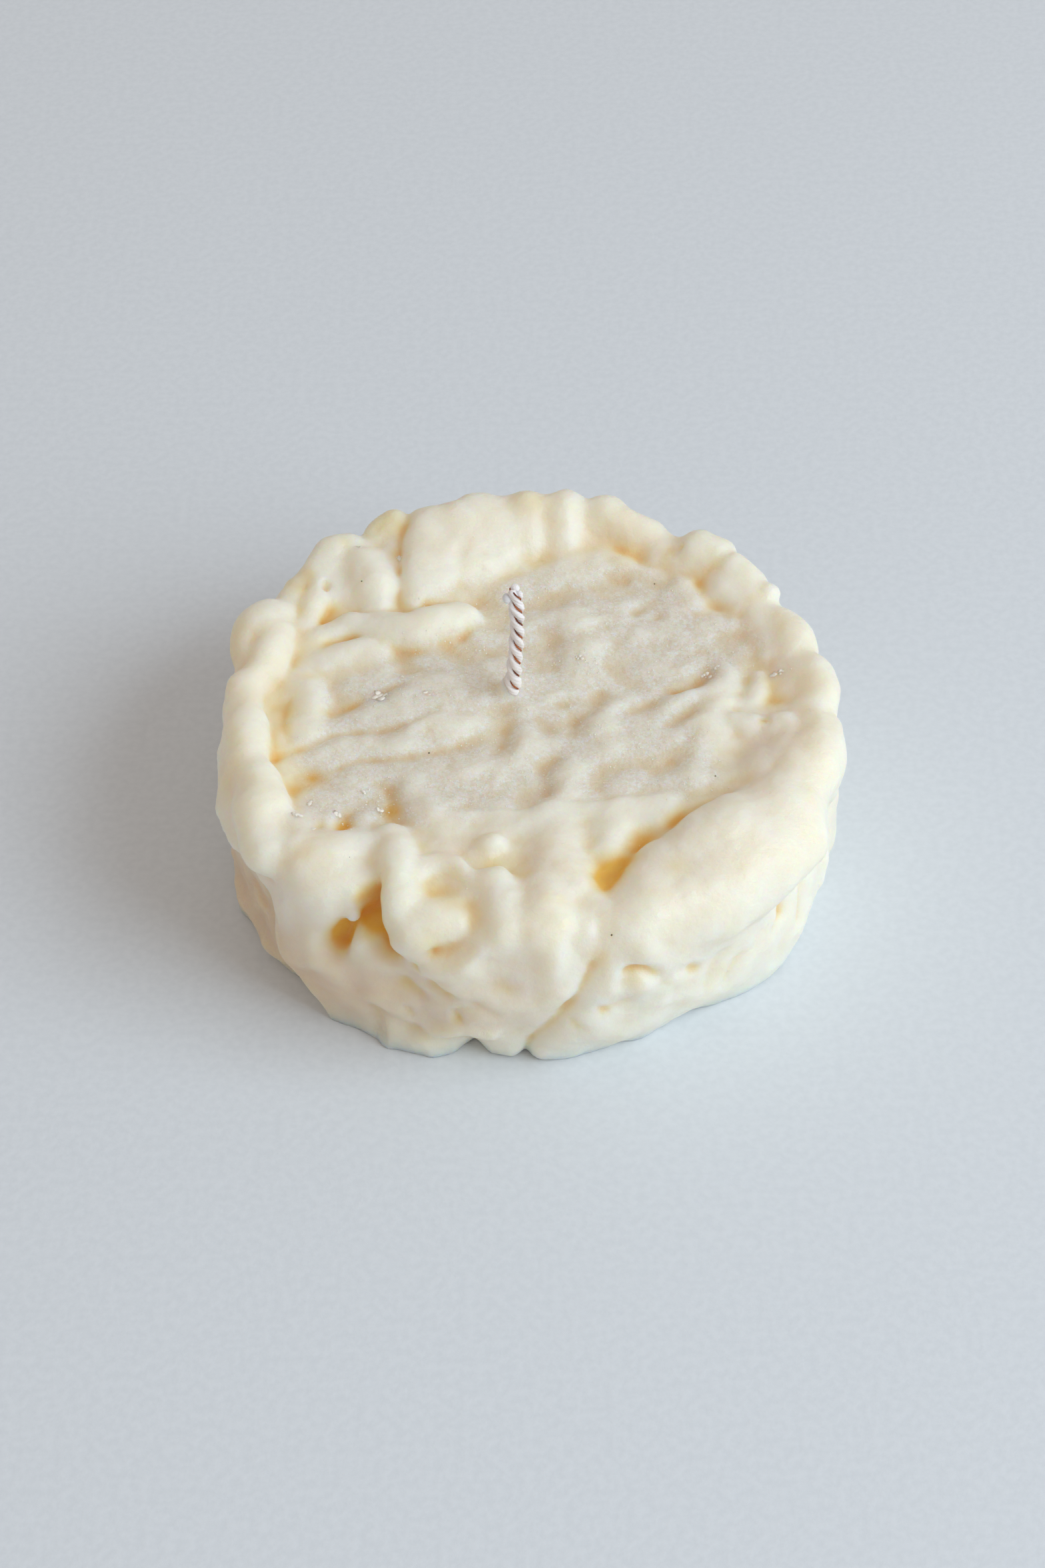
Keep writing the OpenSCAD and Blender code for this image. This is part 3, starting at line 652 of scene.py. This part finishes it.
# Streaks on the sunken top: height, length, width.
STREAKS = [(0.42, 9, 3.2), (0.24, 4, 1.7)]

# Room in the base for the sustainer's disc and for its neck: radius, height.
SUSTAINER_ROOM = [(7.8, 0.8), (2.1, 5.4)]

# Places where shade is painted on the wax as a duller, browner tone: x, y, z, reach, strength.
PAINTED_WARM_SHADE_SPOTS = [
    (-47, -12, 10, 11, 0.95), (-42, -25, 8, 11, 0.8), (-35, -34, 8, 10, 0.7), (-26, -42, 8, 10, 0.5),
    (-14, -47, 14, 9, 0.35), (-3, -49, 13, 9, 0.3), (-22, -43, 16, 8, 0.25), (2, -33, 31, 6, 0.15),
    (-12, -31, 31, 5, 0.3), (-45, 4, 33, 6, 0.2), (34, -9, 31, 5, 0.2), (16, 40, 32, 5, 0.3),
    (48, 10, 12, 12, 0.2), (20, 45, 12, 14, 0.35), (-20, 45, 12, 14, 0.4), (-47, 12, 12, 12, 0.5),
]


def curve_through(points, steps=5):
    """A smooth run through given points."""
    points = np.array(points, float)
    if len(points) < 3:
        return points
    padded = np.vstack([2 * points[0] - points[1], points, 2 * points[-1] - points[-2]])
    t = np.linspace(0, 1, steps, endpoint=False)[:, None]
    run = []
    for a, b, c, d in zip(padded, padded[1:], padded[2:], padded[3:]):
        square, cube = 2 * a - 5 * b + 4 * c - d, 3 * b - a - 3 * c + d
        run.append(0.5 * (2 * b + (c - a) * t + square * t**2 + cube * t**3))
    return np.vstack([*run, points[-1:]])


def bell(distance, reach):
    """1 at no distance, fading to nothing at about twice the reach."""
    return np.exp(-((distance / reach) ** 2))


def smooth_min(a, b, blend):
    """The smaller of two distances, rounded over where they are nearly the same."""
    near = np.maximum(blend - np.abs(a - b), 0) / blend
    return np.minimum(a, b) - near * near * blend / 4


def spline_weights(f):
    """The shares of four lattice points in a place that is f of the way between the middle two."""
    return (1 - f) ** 3 / 6, (3 * f**3 - 6 * f**2 + 4) / 6, (-3 * f**3 + 3 * f**2 + 3 * f + 1) / 6, f**3 / 6


def smooth_field(axes, spacing, rng):
    """Random values on a coarse lattice, spread over the fine grid by cubic B-splines."""
    weights = []
    for axis in axes:
        t = (axis - axis[0]) / spacing
        cell = np.floor(t).astype(int)
        w = np.zeros((len(axis), cell[-1] + 4))
        rows = np.arange(len(axis))
        for ahead, share in enumerate(spline_weights(t - cell)):
            w[rows, cell + ahead] = share
        weights.append(w)
    field = rng.standard_normal([w.shape[1] for w in weights])
    for w in weights:
        field = np.tensordot(field, w, axes=(0, 1))
    return field.astype(np.float32)


def lattice_noise(u, v, rng):
    """Smooth noise at any places, one unit to a lattice cell."""
    u, v = u - u.min(), v - v.min()
    field = rng.standard_normal((int(u.max()) + 4, int(v.max()) + 4))
    i, j = u.astype(int), v.astype(int)
    total = 0
    for a, wa in enumerate(spline_weights(u - i)):
        for b, wb in enumerate(spline_weights(v - j)):
            total = total + wa * wb * field[i + a, j + b]
    return total


def path_distance(u, v, path):
    """The distance from each place (u, v) to a path, and how far to the left of it the place lies."""
    best = np.full(u.shape, FAR)
    side = np.zeros(u.shape)
    for (ax, ay), (bx, by) in zip(path, path[1:]):
        dx, dy = bx - ax, by - ay
        length = math.hypot(dx, dy)
        t = np.clip(((u - ax) * dx + (v - ay) * dy) / length**2, 0, 1)
        distance = np.hypot(u - ax - t * dx, v - ay - t * dy)
        left = (dx * (v - ay) - dy * (u - ax)) / length
        nearer = distance < best
        best = np.where(nearer, distance, best)
        side = np.where(nearer, left, side)
    return best, side


def outline_distance(u, v, outline):
    """The distance from a closed outline, below zero inside it."""
    ring = [*outline, outline[0]]
    distance, _ = path_distance(u, v, ring)
    inside = np.zeros(u.shape, bool)
    for (ax, ay), (bx, by) in zip(ring, ring[1:]):
        if ay != by:
            inside ^= ((ay > v) != (by > v)) & (u < ax + (v - ay) * (bx - ax) / (by - ay))
    return np.where(inside, -distance, distance)


def spread(points, spots):
    """How much of a tint shows at each point, from the spots where it gathers."""
    total = np.zeros(len(points))
    for x, y, z, reach, strength in spots:
        away = np.linalg.norm(points - (x, y, z), axis=1)
        total += strength * bell(away, reach)
    return total


def stroke(u, v, path, depth, width):
    """A hollow along a path, or a ridge if the depth is below zero."""
    distance, _ = path_distance(u, v, curve_through(path))
    return -depth * bell(distance, width)


def step(u, v, path, height, reach):
    """A sheet's edge: it rises at once on the left of the path and fades away behind it."""
    edge_width = 1.2
    distance, side = path_distance(u, v, curve_through(path))
    rise = np.clip(0.5 + side / edge_width, 0, 1)
    return height * rise * bell(distance, reach)


class Clay:
    """A block of wax on a grid. Each cell holds its distance from the surface, below zero inside."""

    def __init__(self):
        self.x = np.arange(-GRID_HALF, GRID_HALF + CELL, CELL, dtype=np.float32)
        self.y = np.arange(-GRID_HALF, GRID_HALF + CELL, CELL, dtype=np.float32)
        self.z = np.arange(-3 * CELL, GRID_TOP, CELL, dtype=np.float32)
        self.low = np.array([self.x[0], self.y[0], self.z[0]])
        self.axes = (self.x, self.y, self.z)
        self.rng = np.random.default_rng(7)
        bend = [
            1.6 * smooth_field(self.axes, 7.0, self.rng) + 1.0 * smooth_field(self.axes, 3.0, self.rng)
            for _ in range(3)
        ]
        grid = np.meshgrid(*self.axes, indexing="ij")
        rope_share = 0.4   # ropes are bent less than strokes
        self.places = [a + b for a, b in zip(grid, bend)]
        self.near_places = [a + rope_share * b for a, b in zip(grid, bend)]

    def blank(self):
        """The revolved body under a top and a wall that carry the scores."""
        pitch = 0.5         # degrees between two columns of the wall
        shoulder = 4.0      # how softly the wall runs into the top
        foot_edge = 0.8     # how softly it runs into the base
        x, y = self.x[:, None], self.y[None, :]
        r = np.hypot(x, y)
        angle = np.degrees(np.arctan2(y, x)) % 360
        wall = self.wall_map(np.arange(0, 360 + pitch, pitch))
        cell = np.clip(angle / pitch, 0, len(wall) - 2).astype(int)
        part = (angle / pitch - cell)[..., None]
        outer = wall[cell] * (1 - part) + wall[cell + 1] * part
        side = r[..., None] - outer
        above = self.z - self.top_map(r, angle)[..., None]
        body = -smooth_min(-side, -above, shoulder)
        self.d = (-smooth_min(-body, self.z, foot_edge)).astype(np.float32)

    def wall_map(self, angles):
        """The radius of the wall at each angle and height."""
        profile, foot = np.array(WALL_PROFILE, float), np.array(FOOT_PROFILE, float)
        wall = np.tile(np.interp(self.z, profile[:, 0], profile[:, 1]), (len(angles), 1))
        wall += np.interp(angles, foot[:, 0], foot[:, 1])[:, None] * bell(self.z, FOOT_REACH)
        for tool, marks in ((stroke, WALL_STROKES), (stroke, self.hidden_marks()), (step, WALL_STEPS)):
            for path, height, width in marks:
                middle = np.mean([p[0] for p in path])
                along = WALL_R * np.radians((angles - middle + 180) % 360 - 180)[:, None]
                run = [(WALL_R * math.radians(a - middle), z) for a, z in path]
                wall += tool(along, self.z[None, :], run, height, width)
        return wall

    def hidden_marks(self):
        """Creases and swellings for the side of the wall that faces away."""
        rng = np.random.default_rng(3)
        marks = []
        for angle in np.arange(-28, 196, 7.5):
            top = rng.uniform(24, 34)
            drift = rng.uniform(-5, 5)
            length = rng.uniform(6, 18)
            start = angle + rng.uniform(-4, 4)
            path = [(start + drift * t + rng.uniform(-1, 1), top - length * t) for t in (0, 0.35, 0.7, 1)]
            marks.append((path, rng.choice((-0.9, -0.6, 0.6, 0.9, 1.3)), rng.uniform(1.0, 2.8)))
        return marks

    def top_map(self, r, angle):
        """The height of the top over each place."""
        rise = np.array(RIM_RISE, float)
        start, end, height = (np.interp(angle, rise[:, 0], rise[:, i]) for i in (1, 2, 3))
        t = np.clip((r - start) / (end - start), 0, 1)
        top = PLATEAU_Z + height * t * t * (3 - 2 * t)
        level = int((PLATEAU_Z - self.z[0]) / CELL)
        gx, gy = (place[:, :, level].astype(float) for place in self.places[:2])
        for tool, marks in ((stroke, TOP_STROKES), (step, TOP_STEPS)):
            for path, size, width in marks:
                top += TOP_RELIEF * tool(gx, gy, path, size, width)
        lean = math.radians(16)
        along = gx * math.cos(lean) + gy * math.sin(lean)
        across = gy * math.cos(lean) - gx * math.sin(lean)
        streaks = 0
        for height, length, width in STREAKS:
            streaks = streaks + height * lattice_noise(along / length, across / width, self.rng)
        return top + streaks * np.clip((PLATEAU_R - r) / 6, 0, 1)

    def window(self, points, margin):
        """The part of the grid round a run of points."""
        points = np.array(points)
        low = points[:, :3].min(0) - points[:, 3].max() - margin
        high = points[:, :3].max(0) + points[:, 3].max() + margin
        return tuple(
            slice(max(int((a - axis[0]) / CELL), 0), max(int((b - axis[0]) / CELL) + 2, 0))
            for a, b, axis in zip(low, high, self.axes)
        )

    def rope(self, points, cells):
        """The distance from a round rope whose radius changes along its run."""
        gx, gy, gz = (place[cells] for place in self.near_places)
        best = np.full(gx.shape, FAR, np.float32)
        run = curve_through(points)
        if len(run) == 1:
            run = np.vstack([run, run + 0.01])
        for a, b in zip(run, run[1:]):
            dx, dy, dz = along = b[:3] - a[:3]
            t = ((gx - a[0]) * dx + (gy - a[1]) * dy + (gz - a[2]) * dz) / (along @ along)
            t = np.clip(t, 0, 1)
            off = np.sqrt((gx - a[0] - t * dx) ** 2 + (gy - a[1] - t * dy) ** 2 + (gz - a[2] - t * dz) ** 2)
            best = np.minimum(best, off - (a[3] + t * (b[3] - a[3])))
        return best

    def pull(self, blend, points):
        """Adds a fold."""
        cells = self.window(points, blend + 1)
        self.d[cells] = smooth_min(self.d[cells], self.rope(points, cells), blend)

    def dig(self, blend, points):
        """Takes a hollow out."""
        cells = self.window(points, blend + 1)
        self.d[cells] = -smooth_min(-self.d[cells], self.rope(points, cells), blend)

    def roughen(self):
        """Uneven wax: slow swells and small lumps, less in the calm places, and a fine grain all over."""
        wall = 1 / (1 + np.exp((self.z - 27) / 2))
        x, y = self.x[:, None, None], self.y[None, :, None]
        lively = 1
        for place_x, place_y, reach, calm in CALM_PLACES:
            lively = lively * (1 - calm * np.exp(-((x - place_x) ** 2 + (y - place_y) ** 2) / reach**2))
        for kept, on_folds, more_on_wall, spacing in LUMPINESS:
            share = kept + (1 - kept) * lively
            self.d += share * (on_folds + more_on_wall * wall) * smooth_field(self.axes, spacing, self.rng)
        grain = 0.16 + 0.06 * np.exp(-((np.hypot(x, y) / 38) ** 8))
        self.d += grain * smooth_field(self.axes, 1.2, self.rng)

    def hollow_out(self):
        """The flat base, with room for the wick's metal foot."""
        x, y = self.x[:, None, None] - WICK_X, self.y[None, :, None] - WICK_Y
        off = np.hypot(x, y)
        disc, neck = (np.maximum(off - radius, self.z - height) for radius, height in SUSTAINER_ROOM)
        self.d = np.maximum(np.maximum(self.d, -self.z), -np.minimum(disc, neck)).astype(np.float32)

    def landing(self, start, heading):
        """Where straight runs first meet the wax, and which way the wax faces there."""
        longest, stride = 16, 0.1   # of a run, and between two places tried on it
        track = start[:, None] + np.arange(0, longest, stride)[:, None] * heading
        inside = self.sample(self.d, track.reshape(-1, 3)).reshape(len(start), -1) < 0
        place = track[np.arange(len(start)), inside.argmax(1)]
        ways = CELL * np.eye(3)
        facing = [self.sample(self.d, place + way) - self.sample(self.d, place - way) for way in ways]
        facing = np.stack(facing, 1)
        return place, facing / np.linalg.norm(facing, axis=1)[:, None]

    def blurred(self, radius):
        """The field averaged over a box, which shows where the surface folds in on itself."""
        field = np.clip(self.d, -BAND, BAND).astype(np.float64)
        n = max(int(round(radius / CELL)), 1)
        for _ in range(2):
            for axis in range(3):
                first = np.repeat(field.take([0], axis), n + 1, axis)
                last = np.repeat(field.take([-1], axis), n, axis)
                total = np.cumsum(np.concatenate([first, field, last], axis), axis)
                size = field.shape[axis]
                ahead = total.take(range(2 * n + 1, 2 * n + 1 + size), axis)
                behind = total.take(range(size), axis)
                field = (ahead - behind) / (2 * n + 1)
        return field

    def sample(self, field, points):
        """Values of a field at places between the cells."""
        place = (points - self.low) / CELL
        cell = np.clip(place.astype(int), 0, np.array(field.shape) - 2)
        part = place - cell
        value = 0
        for corner in np.ndindex(2, 2, 2):
            weight = np.prod(np.where(corner, part, 1 - part), axis=1)
            value = value + weight * field[tuple((cell + corner).T)]
        return value

    def skin(self):
        """The surface as points and quads."""
        grid = openvdb.FloatGrid(BAND)
        grid.copyFromArray(np.ascontiguousarray(self.d))
        points, quads = grid.convertToQuads(0.0)
        return points * CELL + self.low, quads[:, ::-1]


def make_mesh(name, points, faces):
    """A mesh object from points in millimetres."""
    mesh = bpy.data.meshes.new(name)
    mesh.vertices.add(len(points))
    mesh.vertices.foreach_set("co", (np.asarray(points, np.float64) * MM).ravel())
    faces = np.asarray(faces, np.int32)
    mesh.loops.add(faces.size)
    mesh.loops.foreach_set("vertex_index", faces.ravel())
    mesh.polygons.add(len(faces))
    mesh.polygons.foreach_set("loop_start", np.arange(0, faces.size, faces.shape[1], dtype=np.int32))
    mesh.update(calc_edges=True)
    mesh.validate()
    mesh.polygons.foreach_set("use_smooth", np.ones(len(mesh.polygons), bool))
    piece = bpy.data.objects.new(name, mesh)
    bpy.context.scene.collection.objects.link(piece)
    return piece


def set_attribute(piece, name, values):
    layer = piece.data.attributes.new(name, "FLOAT", "POINT")
    layer.data.foreach_set("value", np.asarray(values, np.float32))


def make_wax():
    clay = Clay()
    clay.blank()
    for blend, points in FOLDS:
        clay.pull(blend, points)
    for blend, points in HOLLOWS:
        clay.dig(blend, points)
    for blend, points in LUMPS:
        clay.pull(blend, points)
    clay.roughen()
    clay.hollow_out()
    points, quads = clay.skin()
    piece = make_mesh("wax_skin", points, quads)
    tight = -clay.sample(clay.blurred(1.2), points)
    wide = -clay.sample(clay.blurred(3.5), points)
    x, y, z = points.T
    flat = np.clip((FROST_HIGH - z) / 1.2, 0, 1) * np.clip((z - FROST_LOW) / 1.5, 0, 1)
    frost = flat * np.clip(0.5 - outline_distance(x, y, FROST_EDGE) / 4, 0, 1)
    # Painted crevice shade: this mask is high where the surface folds in on itself and at the listed spots,
    # and the wax material turns it to ochre.
    hollow = 0.4 * np.clip(tight - 0.05, 0, 1) + 0.35 * np.clip(wide - 0.08, 0, 1)
    hollow += frost * np.clip(1.1 * wide - 0.02, 0, 0.28) + spread(points, PAINTED_SHADE_SPOTS)
    frost = frost * np.clip(0.85 + 1.6 * wide, 0.35, 1)
    set_attribute(piece, "hollow", np.clip(hollow, 0, 1))
    set_attribute(piece, "frost", frost)
    # Painted shade: a duller, browner tone at the listed places.
    set_attribute(piece, "painted_warm_shade", np.clip(spread(points, PAINTED_WARM_SHADE_SPOTS), 0, 1))
    piece.data.materials.append(wax_material())
    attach(piece, ROOT)
    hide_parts("wax_body")
    return clay


# ---------------------------------------------------------------- crumbs on the wax

def solid_of_twenty():
    """The corners and faces of a regular solid with twenty sides, one unit from middle to corner."""
    long = (1 + math.sqrt(5)) / 2
    signs = [(a, b) for a in (-1, 1) for b in (-long, long)]
    corners = np.array([p for a, b in signs for p in ((0, a, b), (a, b, 0), (b, 0, a))], float)
    just_over_edge = 2.1
    faces = []
    for face in combinations(range(len(corners)), 3):
        a, b, c = corners[list(face)]
        if max(np.linalg.norm(a - b), np.linalg.norm(b - c), np.linalg.norm(c - a)) < just_over_edge:
            outward = np.dot(np.cross(b - a, c - a), a) > 0
            faces.append(face if outward else face[::-1])
    return corners / np.linalg.norm(corners[0]), np.array(faces)


def make_chips(name, places, facing, sizes, flat, material, rng):
    """Small broken pieces that lie on the wax, in one mesh. Sizes are half widths."""
    lift = 0.2          # how far each piece stands off the wax, as a share of its thickness
    corners, faces = solid_of_twenty()
    side = np.cross(facing, rng.standard_normal(facing.shape))
    side /= np.linalg.norm(side, axis=1)[:, None]
    turn = np.stack([side, np.cross(facing, side), facing * flat], 1)
    shape = corners[None] * rng.uniform(0.6, 1.3, (len(places), len(corners), 1))
    raised = lift * (sizes * flat)[:, None, None] * facing[:, None]
    points = places[:, None] + sizes[:, None, None] * (shape @ turn) + raised
    all_faces = faces[None] + len(corners) * np.arange(len(places))[:, None, None]
    piece = make_mesh(name, points.reshape(-1, 3), all_faces.reshape(-1, 3))
    piece.data.materials.append(material)
    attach(piece, ROOT)


def above(spots):
    """The places over the top from which crumbs drop on these spots."""
    return np.column_stack([spots, np.full(len(spots), DROP_Z)])


def make_crumbs(clay):
    """Frost grains and flakes of clear wax, and a few dark specks."""
    rng = np.random.default_rng(11)
    grain_count = 9000      # tries all over the top, most of which the frost's edge turns down
    grains_per_width = 14   # more of them round each flake
    chips_per_flake = 7
    down = np.array((0, 0, -1.0))
    spots = [rng.uniform(-44, 44, (grain_count, 2))]
    for x, y, width in FLAKES:
        spots.append((x, y) + width * rng.standard_normal((int(grains_per_width * width), 2)))
    spots = np.vstack(spots)
    x, y = spots.T
    clump = lattice_noise(x / 3, y / 3, rng)
    chance = np.clip(0.5 - outline_distance(x, y, FROST_EDGE) / 6, 0.02, 1) * np.clip(clump + 0.5, 0, 1)
    spots = spots[(rng.uniform(0, 1, len(spots)) < chance) & (np.hypot(x, y) < PLATEAU_R)]
    places, facing = clay.landing(above(spots), down)
    clear = crumb_material("wax_crumb", (0.95, 0.92, 0.83))
    make_chips("wax_grains", places, facing, rng.uniform(0.06, 0.19, len(places)), 0.55, clear, rng)
    spots = [(x, y) + 0.2 * width * rng.standard_normal((chips_per_flake, 2)) for x, y, width in FLAKES]
    sizes = np.repeat([0.36 * width for _, _, width in FLAKES], chips_per_flake)
    places, facing = clay.landing(above(np.vstack(spots)), down)
    make_chips("wax_flakes", places, facing, sizes * rng.uniform(0.6, 1.1, len(sizes)), 0.22, clear, rng)
    start = np.array(SPECKS, float)
    heading = np.where(start[:, 2:] < DROP_Z, start * (-1, -1, 0) / SPECK_R, down)
    places, facing = zip(*[clay.landing(a[None], b) for a, b in zip(start, heading)])
    dark = crumb_material("dark_speck", (0.20, 0.16, 0.10))
    sizes = rng.uniform(0.14, 0.24, len(start))
    make_chips("dark_specks", np.vstack(places), np.vstack(facing), sizes, 0.6, dark, rng)


# ---------------------------------------------------------------- wick

def wick_middle(z):
    """The middle line of the wick, which bows towards +X above the wax."""
    t = np.clip((z - PLATEAU_Z) / (WICK_TOP - PLATEAU_Z), 0, 1)
    bow = 0.9 * (np.sin(np.radians(150) * t) + 0.3 * t)
    return np.stack([WICK_X + bow, WICK_Y + 0 * z, z], 1)


def wick_helix(z, start, offset):
    """A thread that winds round the wick, and the way from the wick's middle to it."""
    turn = np.radians(start) - 2 * math.pi * z / LAY
    out = np.stack([np.cos(turn), np.sin(turn), 0 * z], 1)
    return wick_middle(z) + np.broadcast_to(offset, z.shape)[:, None] * out, out


def make_tube(name, middle, out, radii, material):
    """A tube. Each row of radii is one ring, which starts from the side that faces out."""
    along = np.gradient(middle, axis=0)
    along /= np.linalg.norm(along, axis=1)[:, None]
    across = np.cross(along, out)
    across /= np.linalg.norm(across, axis=1)[:, None]
    out = np.cross(across, along)
    rings, sides = radii.shape
    turn = np.linspace(0, 2 * math.pi, sides, endpoint=False)[None, :, None]
    spokes = np.cos(turn) * out[:, None] + np.sin(turn) * across[:, None]
    points = middle[:, None] + radii[..., None] * spokes
    corner = np.arange(rings * sides).reshape(rings, sides)
    quads = np.stack(
        [corner[:-1], np.roll(corner, -1, 1)[:-1], np.roll(corner, -1, 1)[1:], corner[1:]], -1
    ).reshape(-1, 4)
    piece = make_mesh(name, points.reshape(-1, 3), quads)
    piece.data.materials.append(material)
    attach(piece, ROOT)
    return piece


def rounded_ends(z, reach):
    """Shares that draw a tube in at both ends, like a dome, down to a hundredth of its radius."""
    t = np.clip(np.minimum(z - z[0], z[-1] - z) / reach, 0, 1)
    return np.sqrt(np.clip(1 - (1 - t) ** 2, 0.0001, 1))[:, None]


def crept_wax(z):
    """How much wax has crept up the wick at each height, up to 1."""
    return bell(z - CREPT_Z, CREPT_REACH)


def make_wick():
    """Three thick white strands with dyed threads that dip in and out of the grooves between them."""
    rings, strand_sides, thread_sides = 430, 26, 10
    plies, ply_lay = 6, 2.1   # yarns in a strand, and the height of one turn of theirs
    strand_r, thread_r = 0.59, 0.13
    cotton, tracer = cotton_material(), tracer_material()
    rng = np.random.default_rng(5)
    turn = np.linspace(0, 2 * math.pi, strand_sides, endpoint=False)
    for i, top in enumerate((53.2, 52.7, WICK_TOP)):
        z = np.linspace(WICK_LOW, top, rings)
        middle, out = wick_helix(z, 120 * i, 0.60)
        ply = np.cos(plies * turn[None] + 2 * math.pi * z[:, None] / ply_lay)
        puff = smooth_field((z, np.linspace(0, 6, strand_sides), np.zeros(1)), 0.9, rng)[..., 0]
        swell = smooth_field((z, np.zeros(1), np.zeros(1)), 1.6, rng)[..., 0]
        crept = 0.34 * crept_wax(z)[:, None]
        radii = (strand_r + crept + 0.03 * ply + 0.16 * puff + 0.12 * swell) * rounded_ends(z, 0.5)
        piece = make_tube(f"cotton_strand_{i + 1}", middle, out, radii, cotton)
        # Painted shade: this attribute is low in the grooves between the yarns, where the cotton is
        # darkened.
        set_attribute(piece, "ply_groove_shade", (0.5 + 0.4 * ply + 0.3 * puff).ravel())
        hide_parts(f"wick_strand_{i + 1}")
    for i, top in enumerate((53.3, 52.9, 53.1)):
        z = np.linspace(WICK_LOW, top, rings)
        start = 120 * i + 60
        wound = np.radians(start) - 2 * math.pi * z / LAY
        dip = 0.80 + 0.22 * np.cos(2 * (wound + math.radians(62)))
        middle, out = wick_helix(z, start, dip + 0.30 * crept_wax(z))
        radii = np.full((rings, thread_sides), thread_r) * rounded_ends(z, 0.2)
        piece = make_tube(f"dyed_thread_{i + 1}", middle, out, radii, tracer)
        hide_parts(f"tracer_thread_{i + 1}")
    make_tip_bead()


def make_tip_bead():
    """A small bead of clear wax that hangs on the left of the wick's tip."""
    z = np.linspace(50.6, 52.3, 16)
    middle = wick_middle(z) + (-1.35, -0.2, 0) + np.outer((z - 51.5) ** 2, (0.25, 0.1, 0))
    out = np.tile((1.0, 0, 0), (len(z), 1))
    radii = np.tile(0.75 * rounded_ends(z, 0.85), (1, 18))
    make_tube("tip_bead", middle, out, radii, crumb_material("clear_bead", (0.88, 0.90, 0.94)))


# ---------------------------------------------------------------- floor and foot

def make_floor():
    mesh = bpy.data.meshes.new("floor")
    half = 3.0
    corners = [(-half, -half, 0), (half, -half, 0), (half, half, 0), (-half, half, 0)]
    mesh.from_pydata(corners, [], [(0, 1, 2, 3)])
    floor = bpy.data.objects.new("floor", mesh)
    floor.data.materials.append(floor_material())
    bpy.context.scene.collection.objects.link(floor)


def dress_sustainer():
    tin = tin_material()
    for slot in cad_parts["wick_sustainer"].material_slots:
        slot.material = tin


make_camera()
make_lights()
make_floor()
wax_field = make_wax()
make_crumbs(wax_field)
make_wick()
dress_sustainer()
